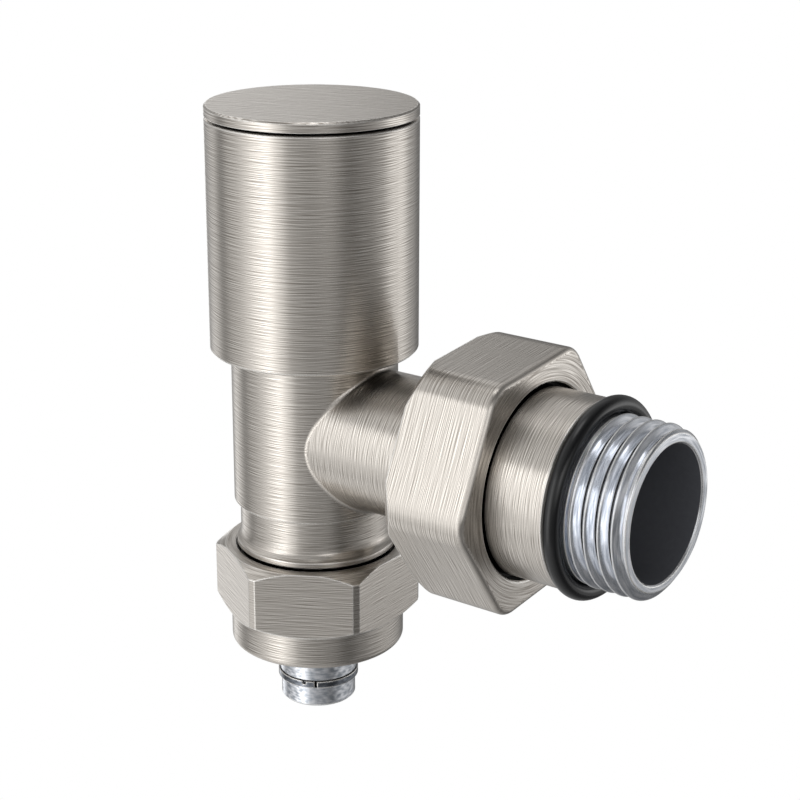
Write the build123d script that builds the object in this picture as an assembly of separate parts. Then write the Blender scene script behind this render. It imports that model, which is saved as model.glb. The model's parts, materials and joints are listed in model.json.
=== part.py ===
from build123d import *
from math import cos, pi, radians, sin, tan
import os

# An angled radiator valve with a plain cylindrical head, a union to the radiator and a nut for a pipe.
# It is modelled about the point where the upright axis meets the branch axis: +Z up the head, +X out
# along the branch. The finished pieces are then moved so that the origin is where the radiator thread starts.
# All sizes are in millimetres.

# Fits
running_gap = 0.05        # radial gap of a piece that turns or screws in another
loose_gap = 0.3           # gap beside a piece that needs no guiding
seat_gap = 0.02           # gap between two faces that rest on each other
overrun = 1.0             # a cutter runs this far past the surface it opens

# Forged body, upright
barrel_r = 10.77
barrel_step_z = -9.84     # the barrel narrows here
barrel_lower_r = 10.0
flare_top_z = -13.4       # the lower barrel flares into a bead above the nut
bead_r = 10.55
bead_top_z = -15.4
bead_foot_z = -16.2
flare_bulge = 0.2         # share of the flare's width reached halfway down
edge_break = 0.25         # the small chamfer on turned edges
body_top_z = 14.0
cavity_r = 7.6

# Forged body, branch
branch_r = 9.11
branch_bore_r = 6.0
saddle_fillet_r = 0.6     # round where the branch meets the barrel
union_thread_start_x = 22.0
union_thread_end_x = 30.5
union_thread_r = 13.2
union_thread_chamfer = 0.8
union_socket_depth = 4.7
union_socket_r = 9.9
union_socket_lead = 0.6

# Seat and inlet
seat_above_bore = 1.0     # the seat lies this far below the branch bore
seat_r = 4.75
seat_lip_w = 1.0
seat_lip_h = 0.6
socket_r = 7.6            # socket for the pipe insert
socket_cone_h = 2.0
socket_roof_z = -14.2
pipe_thread_r = 10.4
pipe_thread_foot_z = -23.0
thread_relief = 0.4
thread_relief_h = 1.0

# Headwork
bonnet_thread_r = 8.6
bonnet_thread_h = 7.0
bonnet_nose_r = 6.2
bonnet_nose_h = 4.5
bonnet_hex_af = 19.0
bonnet_hex_h = 4.0
bonnet_crown_deg = 30
bonnet_neck_r = 6.5
bonnet_neck_h = 4.0
shoulder_depth = 2.0      # the spindle's collar stops this far below the barrel's top
gland_groove_h = 1.6      # space for the bonnet's seal
gland_wall_r = 9.6
gland_root_r = 7.9
bonnet_seal_section = 1.5

# Spindle and plug
spindle_r = 3.5
spindle_collar_r = 4.2
spindle_collar_h = 1.5
thrust_washer_h = 0.4
spindle_thread_r = 3.0
spindle_pitch = 1.0
head_turns = 3
spline_r = 3.3
spline_root_r = 2.9
spline_teeth = 12
spline_h = 7.0
spindle_seal_section = 0.9
spindle_seal_heights = (15.2, 18.4)
clip_h = 0.7
clip_w = 1.6
clip_gap_deg = 70
clip_to_spline = 0.6
carrier_af = 9.0
carrier_floor_h = 3.2
carrier_flange_r = 6.0
carrier_flange_h = 1.0
carrier_headroom = 0.2    # left above the plug when it is fully lifted
washer_h = 2.0
washer_screw_r = 1.3
washer_screw_head_r = 2.6
washer_screw_head_h = 1.2
washer_screw_h = 4.0
washer_screw_slot_w = 0.8
screw_crown = 0.7         # share of a screw head's radius that stays flat
screw_tip_gap = 0.5       # left under a screw's tip

# Head
head_foot_z = 10.72
head_h = 31.37
lid_h = 1.31
lid_gap = 0.4             # the dark groove under the lid
core_lid_gap = 0.28       # between the core's top and the lid's spigot
lid_spigot_wall = 1.3
sleeve_wall = 1.2
sleeve_lower_wall = 1.9
sleeve_barrel_gap = 0.73  # between the head and the barrel it turns round
ledge_z = 20.0            # the core stands on this ledge inside the sleeve
core_h = 16.0
core_rim_wall = 1.4
core_hub_r = 6.0
core_web_h = 2.5
core_web_z = 28.0
core_hub_drop = 2.25      # the hub's top lies this far below the rim's
core_ribs = 6
core_rib_w = 1.2
core_floor_h = 1.0        # plastic between the spindle and the screw's head
head_screw_r = 1.6
head_screw_head_r = 3.5
head_screw_head_h = 2.4
head_screw_h = 9.5
head_screw_crown_h = 0.8
screw_socket_af = 2.5
screw_socket_h = 1.3

# Union tail, along the branch axis
tail_r = 11.72
shoulder_x = 42.35
radiator_thread_x = 44.6
radiator_thread_r = 10.4775
tail_end_x = 52.14
tail_bore_r = 8.42
tail_chamfer = 1.25
tail_hex_af = 12.0        # inside hexagon for the fitting key
tail_hex_depth = 11.0
tail_spigot_gap = 0.2
tail_flange_r = 12.95
tail_flange_h = 2.4
shoulder_break = 0.12
tail_seal_section = 2.15
tail_seal_outer_r = 12.43
tail_seal_x = 43.5
union_seal_section = 1.5

# Union nut
union_nut_af = 30.0
union_nut_start_x = 23.1
union_nut_end_x = 34.7
union_nut_lip = 1.5
union_nut_lead = 0.5
union_nut_mouth_r = 12.2
union_nut_corner_fillet = 4.1
union_nut_front_fillet = 0.7
union_nut_back_inset = 0.65  # the back's turned cone starts this far outside the flats
union_nut_back_angle = 48
union_nut_turn_deg = 65   # first corner, from +Y towards +Z

# Pipe nut
pipe_nut_af = 24.0
pipe_nut_top_z = -16.35
pipe_nut_hex_h = 9.15
pipe_nut_flat_r = 12.1    # the flat top ends at this radius
pipe_nut_top_angle = 37
pipe_nut_foot_angle = 30
pipe_nut_corner_chamfer = 0.55
pipe_nut_turn_deg = 30.5
collar_r = 11.5
collar_foot_z = -29.9
collar_fillet = 0.7
pipe_r = 7.0              # the plastic pipe's outer radius
pipe_hole_gap = 0.15
pipe_nut_lead = 0.3
clamp_cone_r = 9.3
clamp_h = 3.9
clamp_cone_deg = 17
clamp_slit = 1.4
clamp_slit_deg = -125

# Pipe insert
insert_flange_r = 9.2
insert_flange_h = 1.6
insert_spigot_h = 6.4
insert_nose = 0.8
insert_barb_r = 5.2
insert_tube_r = 4.99
insert_bore_r = 3.4
insert_foot_z = -38.65
insert_seal_section = 1.5
pipe_seal_section = 1.2
pipe_seal_heights = (-27.0, -30.2)
snap_ring_top_z = -34.8
snap_ring_h = 0.9
snap_ring_r = 5.4
snap_ring_w = 0.8
snap_ring_slit_deg = -55
snap_ring_slit = 0.35
snap_ring_notch_deg = -72
snap_ring_notch = 0.5
snap_ring_notch_floor = 0.2

# Worked out from the sizes above
head_r = barrel_r + sleeve_barrel_gap + sleeve_lower_wall
seat_z = -(branch_bore_r + seat_above_bore)
lift = head_turns * spindle_pitch
bonnet_foot_z = body_top_z - bonnet_thread_h - bonnet_nose_h
bonnet_top_z = body_top_z + bonnet_hex_h + bonnet_neck_h
spindle_stop_z = body_top_z - shoulder_depth
collar_top_z = spindle_stop_z - thrust_washer_h
collar_under_z = collar_top_z - spindle_collar_h
carrier_top_z = collar_under_z - lift - carrier_headroom
carrier_foot_z = seat_z + washer_h + seat_gap
spindle_foot_z = carrier_foot_z + carrier_floor_h + lift + loose_gap
clip_root_r = spindle_r - clip_w / 3
spline_foot_z = bonnet_top_z + clip_h + clip_to_spline
spindle_top_z = spline_foot_z + spline_h
sleeve_top_z = head_foot_z + head_h - lid_h - lid_gap
sleeve_bore_r = head_r - sleeve_wall
core_r = sleeve_bore_r - running_gap
core_top_z = ledge_z + core_h
lid_spigot_h = head_foot_z + head_h - lid_h - core_top_z - core_lid_gap
union_bore_r = union_thread_r + running_gap + seat_gap
pipe_nut_bore_r = pipe_thread_r + running_gap
spigot_r = union_socket_r - running_gap
insert_spigot_r = socket_r - running_gap
insert_top_z = pipe_thread_foot_z + insert_spigot_h
hex_to_corner = 1 / cos(pi / 6)


def turned(*points):
    """A solid turned about the upright axis from its half section, given as (radius, height) points."""
    return revolve(Plane.XZ * make_face(Polyline(*points, close=True)), Axis.Z)


def tube(outer_r, inner_r, foot, top):
    return turned((inner_r, foot), (outer_r, foot), (outer_r, top), (inner_r, top))


def rod(r, foot, top):
    return turned((0, foot), (r, foot), (r, top), (0, top))


def along_branch(solid):
    """Lays a piece that was turned about the upright axis along the branch axis."""
    return Rot(0, 90, 0) * solid


def hexagon(across_flats, foot, top, turn_deg=0):
    outline = RegularPolygon(across_flats / 2, 6, major_radius=False, rotation=turn_deg)
    return extrude(Plane.XY.offset(foot) * outline, top - foot)


def seal_ring(inner_r, section, height):
    """A round rubber ring."""
    return Pos(0, 0, height) * Torus(inner_r + section / 2, section / 2)


def splined(root_r, tip_r, foot, top, gap=0.0):
    """A shaft with straight teeth, or with a gap the cutter of its socket."""
    tooth_w = pi * root_r / spline_teeth
    shaft = rod(root_r + gap, foot, top)
    reach = tip_r + gap
    tooth = Pos(reach / 2, 0, (foot + top) / 2) * Box(reach, tooth_w + 2 * gap, top - foot)
    teeth = [Rot(0, 0, 360 / spline_teeth * i) * tooth for i in range(spline_teeth)]
    limit = rod(reach, foot, top)
    return shaft + [tooth & limit for tooth in teeth]


def radial_slot(width, angle_deg, outer_r, foot, top, inner_r=0.0):
    """A cutter that opens a ring at one angle."""
    length = outer_r - inner_r
    block = Pos((outer_r + inner_r) / 2, 0, (foot + top) / 2) * Box(length, width, top - foot)
    return Rot(0, 0, angle_deg) * block


# The body


def barrel_outline():
    """The barrel, its step, the flared bead and the male thread for the pipe nut, as one turning."""
    flare = ThreePointArc(
        (barrel_lower_r, flare_top_z),
        (barrel_lower_r + flare_bulge * (bead_r - barrel_lower_r), (flare_top_z + bead_top_z) / 2),
        (bead_r, bead_top_z),
    )
    upper = Polyline(
        (0, body_top_z),
        (barrel_r - edge_break, body_top_z),
        (barrel_r, body_top_z - edge_break),
        (barrel_r, barrel_step_z + edge_break / 2),
        (barrel_r - edge_break / 2, barrel_step_z),
        (barrel_lower_r, barrel_step_z),
        (barrel_lower_r, flare_top_z),
    )
    relief_r = pipe_thread_r - thread_relief
    relief_foot = bead_foot_z - thread_relief_h
    lower = Polyline(
        (bead_r, bead_top_z),
        (bead_r, bead_foot_z + edge_break),
        (bead_r - edge_break, bead_foot_z),
        (relief_r, bead_foot_z),
        (relief_r, relief_foot),
        (pipe_thread_r, relief_foot - thread_relief),
        (pipe_thread_r, pipe_thread_foot_z + thread_relief),
        (relief_r, pipe_thread_foot_z),
        (0, pipe_thread_foot_z),
        (0, body_top_z),
    )
    return revolve(Plane.XZ * make_face([upper, flare, lower]), Axis.Z)


def branch_outline():
    """The plain branch and the larger male thread that the union nut screws on."""
    thread_tip_r = union_thread_r - union_thread_chamfer
    return along_branch(
        turned(
            (0, 0),
            (branch_r, 0),
            (branch_r, union_thread_start_x),
            (thread_tip_r, union_thread_start_x),
            (union_thread_r, union_thread_start_x + union_thread_chamfer),
            (union_thread_r, union_thread_end_x - union_thread_chamfer),
            (thread_tip_r, union_thread_end_x),
            (0, union_thread_end_x),
        )
    )


def body_cavities():
    """The headwork bore, the seat with its raised lip, the inlet and the socket for the pipe insert."""
    thread_foot = body_top_z - bonnet_thread_h
    floor = seat_z - seat_lip_h
    lip_r = seat_r + seat_lip_w
    upright = turned(
        (0, body_top_z + overrun),
        (gland_wall_r, body_top_z + overrun),
        (gland_wall_r, body_top_z - gland_groove_h),
        (bonnet_thread_r, body_top_z - gland_groove_h),
        (bonnet_thread_r, thread_foot),
        (cavity_r, thread_foot),
        (cavity_r, floor),
        (lip_r, floor),
        (lip_r, seat_z),
        (seat_r, seat_z),
        (seat_r, socket_roof_z),
        (socket_r - socket_cone_h, socket_roof_z),
        (socket_r, socket_roof_z - socket_cone_h),
        (socket_r, pipe_thread_foot_z - overrun),
        (0, pipe_thread_foot_z - overrun),
    )
    socket_x = union_thread_end_x - union_socket_depth
    mouth_r = union_socket_r + union_socket_lead
    level = along_branch(
        turned(
            (0, 0),
            (branch_bore_r, 0),
            (branch_bore_r, socket_x),
            (union_socket_r, socket_x),
            (union_socket_r, union_thread_end_x - union_socket_lead),
            (mouth_r, union_thread_end_x),
            (mouth_r, union_thread_end_x + overrun),
            (0, union_thread_end_x + overrun),
        )
    )
    return upright + level


def make_valve_body():
    outside = barrel_outline() + branch_outline()
    saddle = [e for e in outside.edges() if e.geom_type not in (GeomType.LINE, GeomType.CIRCLE)]
    outside = fillet(saddle, saddle_fillet_r)
    return outside - body_cavities()


# Headwork


def make_bonnet():
    """The brass insert that holds the spindle: hexagon, thread, neck and a guide for the plug's hexagon."""
    seal_root_z = body_top_z - gland_groove_h
    thread_foot = body_top_z - bonnet_thread_h
    shank_r = bonnet_thread_r - running_gap
    outside = turned(
        (0, bonnet_foot_z),
        (bonnet_nose_r - edge_break, bonnet_foot_z),
        (bonnet_nose_r, bonnet_foot_z + edge_break),
        (bonnet_nose_r, thread_foot + seat_gap),
        (shank_r, thread_foot + seat_gap),
        (shank_r, seal_root_z),
        (gland_root_r, seal_root_z),
        (gland_root_r, body_top_z + seat_gap),
        (bonnet_neck_r, body_top_z + seat_gap),
        (bonnet_neck_r, bonnet_top_z - edge_break),
        (bonnet_neck_r - edge_break, bonnet_top_z),
        (0, bonnet_top_z),
    )
    hex_foot, hex_top = body_top_z + seat_gap, body_top_z + bonnet_hex_h
    corner_r = bonnet_hex_af / 2 * hex_to_corner
    flat_r = bonnet_hex_af / 2
    drop = (corner_r - flat_r) * tan(radians(bonnet_crown_deg))
    crown = turned(
        (0, hex_foot),
        (corner_r, hex_foot),
        (corner_r, hex_top - drop),
        (flat_r, hex_top),
        (0, hex_top),
    )
    outside += hexagon(bonnet_hex_af, hex_foot, hex_top) & crown
    guide = hexagon(carrier_af + 2 * running_gap, bonnet_foot_z - overrun, spindle_stop_z)
    journal = rod(spindle_r + running_gap, spindle_stop_z - overrun, bonnet_top_z + overrun)
    return outside - guide - journal


def make_bonnet_seal():
    height = body_top_z - gland_groove_h / 2
    return seal_ring(gland_root_r + running_gap, bonnet_seal_section, height)


def spindle_seal_root():
    return spindle_r - spindle_seal_section


def make_spindle():
    """The turning spindle: its thread lifts the plug, its collar holds it down, its splines take the head."""
    clip_foot = bonnet_top_z + seat_gap
    clip_top = clip_foot + clip_h + seat_gap
    shaft = turned(
        (0, spindle_foot_z),
        (spindle_thread_r - edge_break, spindle_foot_z),
        (spindle_thread_r, spindle_foot_z + edge_break),
        (spindle_thread_r, collar_under_z),
        (spindle_collar_r, collar_under_z),
        (spindle_collar_r, collar_top_z - seat_gap),
        (spindle_r, collar_top_z - seat_gap),
        (spindle_r, clip_foot),
        (clip_root_r, clip_foot),
        (clip_root_r, clip_top),
        (spindle_r, clip_top),
        (spindle_r, spline_foot_z),
        (0, spline_foot_z),
    )
    shaft += splined(spline_root_r, spline_r, spline_foot_z, spindle_top_z)
    for height in spindle_seal_heights:
        groove_h = spindle_seal_section + loose_gap
        foot = height - groove_h / 2
        shaft -= tube(spindle_r + overrun, spindle_seal_root(), foot, foot + groove_h)
    hole_foot = spindle_top_z - head_screw_h
    return shaft - rod(head_screw_r + running_gap, hole_foot, spindle_top_z + overrun)


def make_spindle_seal(height):
    return seal_ring(spindle_seal_root() + seat_gap, spindle_seal_section, height)


def make_thrust_washer():
    inner_r, outer_r = spindle_r + running_gap, spindle_collar_r
    return tube(outer_r, inner_r, collar_top_z, spindle_stop_z - seat_gap)


def make_spindle_clip():
    """An open spring clip in the spindle's groove, on top of the bonnet."""
    root = clip_root_r + seat_gap
    foot = bonnet_top_z + 2 * seat_gap
    outer_r = root + clip_w
    ring = tube(outer_r, root, foot, foot + clip_h - seat_gap)
    wedge_x = 2 * outer_r * cos(radians(clip_gap_deg / 2))
    wedge_y = 2 * outer_r * sin(radians(clip_gap_deg / 2))
    wedge = make_face(Polyline((0, 0), (wedge_x, wedge_y), (wedge_x, -wedge_y), close=True))
    return ring - extrude(Plane.XY.offset(foot - overrun) * wedge, clip_h + 2 * overrun)


# The plug


def make_plug_carrier():
    """The hexagonal nut that rides on the spindle's thread and can't turn in the bonnet."""
    top = carrier_top_z
    flange_top = carrier_foot_z + carrier_flange_h
    corner_r = carrier_af / 2 * hex_to_corner - edge_break
    body = hexagon(carrier_af, flange_top, top) & turned(
        (0, flange_top),
        (corner_r, flange_top),
        (corner_r, top - edge_break),
        (carrier_af / 2, top),
        (0, top),
    )
    body += rod(carrier_flange_r, carrier_foot_z, flange_top)
    body -= rod(spindle_thread_r + running_gap, carrier_foot_z + carrier_floor_h, top + overrun)
    hole_top = carrier_foot_z + washer_screw_depth() + screw_tip_gap
    return body - rod(washer_screw_r + seat_gap, carrier_foot_z - overrun, hole_top)


def washer_screw_depth():
    return washer_screw_h - washer_h


def make_seat_washer():
    """The rubber disc that closes the seat."""
    return tube(carrier_flange_r, washer_screw_r + running_gap, seat_z + seat_gap, carrier_foot_z)


def make_washer_screw():
    head_top = seat_z + seat_gap
    head = turned(
        (0, head_top - washer_screw_head_h),
        (washer_screw_head_r * screw_crown, head_top - washer_screw_head_h),
        (washer_screw_head_r, head_top - washer_screw_head_h / 2),
        (washer_screw_head_r, head_top),
        (0, head_top),
    )
    slot_h = washer_screw_head_h / 2
    slot = Box(3 * washer_screw_head_r, washer_screw_slot_w, slot_h)
    slot = Pos(0, 0, head_top - washer_screw_head_h) * slot
    return head + rod(washer_screw_r, head_top, head_top + washer_screw_h) - slot


# The head


def make_head_sleeve():
    """The plain cylindrical shell of the head, with a ledge inside for the plastic core."""
    lower_bore = head_r - sleeve_lower_wall
    lead = edge_break
    return turned(
        (lower_bore + lead, head_foot_z),
        (head_r - edge_break, head_foot_z),
        (head_r, head_foot_z + edge_break),
        (head_r, sleeve_top_z - lead / 2),
        (head_r - lead / 2, sleeve_top_z),
        (sleeve_bore_r, sleeve_top_z),
        (sleeve_bore_r, ledge_z),
        (lower_bore, ledge_z),
        (lower_bore, head_foot_z + lead),
    )


def make_head_core():
    """The moulded core: a rim that fills the sleeve, a ribbed web and a splined hub."""
    hub_foot = spline_foot_z + seat_gap
    hub_top = core_web_z + core_web_h
    rim_r = core_r - core_rim_wall
    rim = tube(core_r, rim_r, ledge_z + seat_gap, core_top_z)
    web = rod(core_r - core_rim_wall / 2, core_web_z, hub_top)
    hub = rod(core_hub_r, hub_foot, core_top_z - core_hub_drop)
    rib_h = core_web_z - (bonnet_top_z + clip_h + loose_gap)
    rib_length = rim_r - core_hub_r + core_rim_wall
    rib = Pos((rim_r + core_hub_r) / 2, 0, core_web_z - rib_h / 2) * Box(rib_length, core_rib_w, rib_h)
    ribs = [Rot(0, 0, 360 / core_ribs * i) * rib for i in range(core_ribs)]
    socket_top = spindle_top_z + seat_gap
    floor_top = socket_top + core_floor_h
    bore = splined(spline_root_r, spline_r, hub_foot - overrun, socket_top, running_gap)
    screw_hole = rod(head_screw_r + loose_gap, hub_foot, floor_top + overrun)
    screw_well = rod(head_screw_head_r + loose_gap, floor_top, core_top_z + overrun)
    return rim + web + hub + ribs - bore - screw_hole - screw_well


def make_head_screw():
    under = spindle_top_z + core_floor_h + 2 * seat_gap
    top = under + head_screw_head_h
    screw = rod(head_screw_r, under - head_screw_h + screw_tip_gap, under)
    screw += turned(
        (0, under),
        (head_screw_head_r, under),
        (head_screw_head_r, top - head_screw_crown_h),
        (head_screw_head_r * screw_crown, top),
        (0, top),
    )
    return screw - hexagon(screw_socket_af, top - screw_socket_h, top + overrun)


def make_head_lid():
    """The flat disc on top, with a spigot that snaps into the sleeve and leaves a narrow groove."""
    top = head_foot_z + head_h
    under = top - lid_h
    outer_r = sleeve_bore_r - running_gap
    inner_r = outer_r - lid_spigot_wall
    foot = under - lid_spigot_h
    return turned(
        (0, under),
        (inner_r, under),
        (inner_r, foot),
        (outer_r - edge_break, foot),
        (outer_r, foot + edge_break),
        (outer_r, under),
        (head_r, under),
        (head_r, top - edge_break),
        (head_r - edge_break, top),
        (0, top),
    )


# The union to the radiator


def seal_groove_r():
    return tail_seal_outer_r - tail_seal_section


def make_union_tail():
    """The tail: a spigot in the body, a flange for the nut, a plain stretch, a seal groove and a thread."""
    spigot_foot = union_thread_end_x - union_socket_depth + tail_spigot_gap
    flange_foot = union_thread_end_x + tail_spigot_gap
    flange_top = flange_foot + tail_flange_h
    groove_r = seal_groove_r() - seat_gap
    outside = turned(
        (0, spigot_foot),
        (spigot_r - edge_break, spigot_foot),
        (spigot_r, spigot_foot + edge_break),
        (spigot_r, flange_foot),
        (tail_flange_r, flange_foot),
        (tail_flange_r, flange_top),
        (tail_r, flange_top),
        (tail_r, shoulder_x - shoulder_break),
        (tail_r - shoulder_break, shoulder_x),
        (groove_r, shoulder_x),
        (groove_r, radiator_thread_x),
        (radiator_thread_r, radiator_thread_x),
        (radiator_thread_r, tail_end_x - tail_chamfer),
        (radiator_thread_r - tail_chamfer, tail_end_x),
        (0, tail_end_x),
    )
    hex_end = spigot_foot + tail_hex_depth
    cone_h = tail_bore_r - tail_hex_af / 2
    bore = turned(
        (0, hex_end),
        (tail_hex_af / 2, hex_end),
        (tail_bore_r, hex_end + cone_h),
        (tail_bore_r, tail_end_x + overrun),
        (0, tail_end_x + overrun),
    )
    outside -= bore + hexagon(tail_hex_af, spigot_foot - overrun, hex_end + cone_h / 2)
    groove_h = union_seal_section + loose_gap
    groove_foot = (spigot_foot + flange_foot - groove_h) / 2
    root = spigot_r - union_seal_section + seat_gap
    outside -= tube(spigot_r + overrun, root, groove_foot, groove_foot + groove_h)
    return along_branch(outside)


def make_tail_seal():
    """The large rubber ring that seals against the radiator."""
    return along_branch(seal_ring(seal_groove_r(), tail_seal_section, tail_seal_x))


def make_union_seal():
    middle = union_thread_end_x + tail_spigot_gap - union_socket_depth / 2
    inner_r = spigot_r - union_seal_section + 2 * seat_gap
    return along_branch(seal_ring(inner_r, union_seal_section, middle))


def make_union_nut():
    """The large hexagonal nut, turned to a cone at the back and rounded at its corners and front edge."""
    start, end = union_nut_start_x, union_nut_end_x
    flat_r = union_nut_af / 2
    corner_r = flat_r * hex_to_corner
    block = hexagon(union_nut_af, start, end, union_nut_turn_deg + 90)
    block = fillet(block.edges().filter_by(Axis.Z), union_nut_corner_fillet)
    block = fillet(block.faces().sort_by(Axis.Z)[-1].edges(), union_nut_front_fillet)
    back_r = flat_r + union_nut_back_inset
    rise = (corner_r - back_r) * tan(radians(union_nut_back_angle))
    block &= turned((0, start), (back_r, start), (corner_r, start + rise), (corner_r, end), (0, end))
    lip_x = end - union_nut_lip
    lead_r = union_bore_r + union_nut_lead
    bore = turned(
        (0, start - overrun),
        (lead_r, start - overrun),
        (lead_r, start),
        (union_bore_r, start + union_nut_lead),
        (union_bore_r, lip_x),
        (union_nut_mouth_r, lip_x),
        (union_nut_mouth_r, end - edge_break),
        (union_nut_mouth_r + 2 * edge_break, end + edge_break),
        (0, end + edge_break),
    )
    return along_branch(block - bore)


# The pipe connection


def clamp_foot_r():
    return clamp_cone_r - clamp_h * tan(radians(clamp_cone_deg))


def clamp_top_z():
    return pipe_thread_foot_z - insert_flange_h - 3 * seat_gap


def make_pipe_nut():
    """The nut on the pipe: a hexagon with turned ends, a collar and an inner cone for the clamp ring."""
    top = pipe_nut_top_z
    hex_foot = top - pipe_nut_hex_h
    flat_r = pipe_nut_af / 2
    corner_r = flat_r * hex_to_corner
    block = hexagon(pipe_nut_af, hex_foot, top, pipe_nut_turn_deg)
    block = chamfer(block.edges().filter_by(Axis.Z), pipe_nut_corner_chamfer)
    drop = (corner_r - pipe_nut_flat_r) * tan(radians(pipe_nut_top_angle))
    rise = (corner_r - collar_r) * tan(radians(pipe_nut_foot_angle))
    block &= turned(
        (0, hex_foot),
        (collar_r, hex_foot),
        (corner_r, hex_foot + rise),
        (corner_r, top - drop),
        (pipe_nut_flat_r, top),
        (0, top),
    )
    collar = rod(collar_r, collar_foot_z, hex_foot + overrun)
    collar = fillet(collar.edges().sort_by(Axis.Z)[0], collar_fillet)
    hole_r = pipe_r + pipe_hole_gap
    cone_top = clamp_top_z()
    cone_foot = cone_top - clamp_h
    cone_gap = running_gap / cos(radians(clamp_cone_deg))
    cone_r = clamp_cone_r + cone_gap
    thread_end = cone_top + loose_gap
    lead_r = pipe_nut_bore_r + pipe_nut_lead
    bore = turned(
        (0, top + overrun),
        (lead_r, top + overrun),
        (lead_r, top),
        (pipe_nut_bore_r, top - pipe_nut_lead),
        (pipe_nut_bore_r, thread_end),
        (cone_r, thread_end),
        (cone_r, cone_top),
        (clamp_foot_r() + cone_gap, cone_foot),
        (hole_r, cone_foot - seat_gap),
        (hole_r, collar_foot_z - overrun),
        (0, collar_foot_z - overrun),
    )
    return block + collar - bore


def make_clamp_ring():
    """The split cone ring that grips the pipe."""
    top = clamp_top_z()
    foot = top - clamp_h
    ring = turned((pipe_r, foot), (clamp_foot_r(), foot), (clamp_cone_r, top), (pipe_r, top))
    return ring - radial_slot(clamp_slit, clamp_slit_deg, 2 * clamp_cone_r, foot - overrun, top + overrun)


def insert_seal_z():
    return insert_top_z - insert_spigot_h / 2


def make_pipe_insert():
    """The chromed tube that the pipe slides over, with a flanged spigot in the body's socket."""
    flange_top = pipe_thread_foot_z - seat_gap
    flange_foot = flange_top - insert_flange_h
    ring_foot = snap_ring_top_z - snap_ring_h
    root = snap_ring_r - snap_ring_w - seat_gap
    outside = turned(
        (0, insert_foot_z),
        (insert_tube_r - edge_break, insert_foot_z),
        (insert_tube_r, insert_foot_z + edge_break),
        (insert_tube_r, ring_foot - seat_gap),
        (root, ring_foot - seat_gap),
        (root, snap_ring_top_z + seat_gap),
        (insert_barb_r, snap_ring_top_z + seat_gap),
        (insert_barb_r, flange_foot),
        (insert_flange_r, flange_foot),
        (insert_flange_r, flange_top),
        (insert_spigot_r, flange_top),
        (insert_spigot_r, insert_top_z - insert_nose),
        (insert_spigot_r - insert_nose, insert_top_z),
        (0, insert_top_z),
    )
    outside -= rod(insert_bore_r, insert_foot_z - overrun, insert_top_z + overrun)
    groove_h = insert_seal_section + loose_gap
    foot = insert_seal_z() - groove_h / 2
    outside -= tube(insert_spigot_r + overrun, insert_spigot_r - insert_seal_section, foot, foot + groove_h)
    for height in pipe_seal_heights:
        groove_h = pipe_seal_section + loose_gap
        foot = height - groove_h / 2
        outside -= tube(insert_barb_r + overrun, insert_barb_r - pipe_seal_section, foot, foot + groove_h)
    return outside


def make_insert_seal():
    return seal_ring(insert_spigot_r - insert_seal_section + seat_gap, insert_seal_section, insert_seal_z())


def make_pipe_seal(height):
    return seal_ring(insert_barb_r - pipe_seal_section + seat_gap, pipe_seal_section, height)


def make_snap_ring():
    """The small split ring near the end of the insert, open at its slit and notched beside it."""
    foot, top = snap_ring_top_z - snap_ring_h, snap_ring_top_z
    inner_r = snap_ring_r - snap_ring_w
    far_r = 2 * snap_ring_r
    ring = tube(snap_ring_r, inner_r, foot, top)
    ring -= radial_slot(snap_ring_slit, snap_ring_slit_deg, far_r, foot - overrun, top + overrun)
    notch_foot = foot + snap_ring_h / 2
    notch_r = inner_r + snap_ring_notch_floor
    return ring - radial_slot(
        snap_ring_notch, snap_ring_notch_deg, far_r, notch_foot, top + overrun, notch_r
    )


def make_parts():
    parts = {
        "valve_body": make_valve_body(),
        "bonnet": make_bonnet(),
        "bonnet_seal": make_bonnet_seal(),
        "spindle": make_spindle(),
        "thrust_washer": make_thrust_washer(),
        "spindle_clip": make_spindle_clip(),
        "plug_carrier": make_plug_carrier(),
        "seat_washer": make_seat_washer(),
        "washer_screw": make_washer_screw(),
        "head_sleeve": make_head_sleeve(),
        "head_core": make_head_core(),
        "head_screw": make_head_screw(),
        "head_lid": make_head_lid(),
        "union_tail": make_union_tail(),
        "tail_seal": make_tail_seal(),
        "union_seal": make_union_seal(),
        "union_nut": make_union_nut(),
        "pipe_nut": make_pipe_nut(),
        "clamp_ring": make_clamp_ring(),
        "pipe_insert": make_pipe_insert(),
        "insert_seal": make_insert_seal(),
        "snap_ring": make_snap_ring(),
    }
    for name, height in zip(("spindle_seal_lower", "spindle_seal_upper"), spindle_seal_heights):
        parts[name] = make_spindle_seal(height)
    for name, height in zip(("pipe_seal_upper", "pipe_seal_lower"), pipe_seal_heights):
        parts[name] = make_pipe_seal(height)
    return parts


os.makedirs("parts", exist_ok=True)
to_thread_start = Pos(-radiator_thread_x, 0, 0)
for name, solid in make_parts().items():
    export_step(to_thread_start * solid, f"parts/{name}.step")
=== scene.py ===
"""The looks of an angled radiator valve in brushed nickel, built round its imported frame.

Lengths are in metres.
"""

import json
import math
from collections import namedtuple

import bmesh
import bpy
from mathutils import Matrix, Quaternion, Vector

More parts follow.
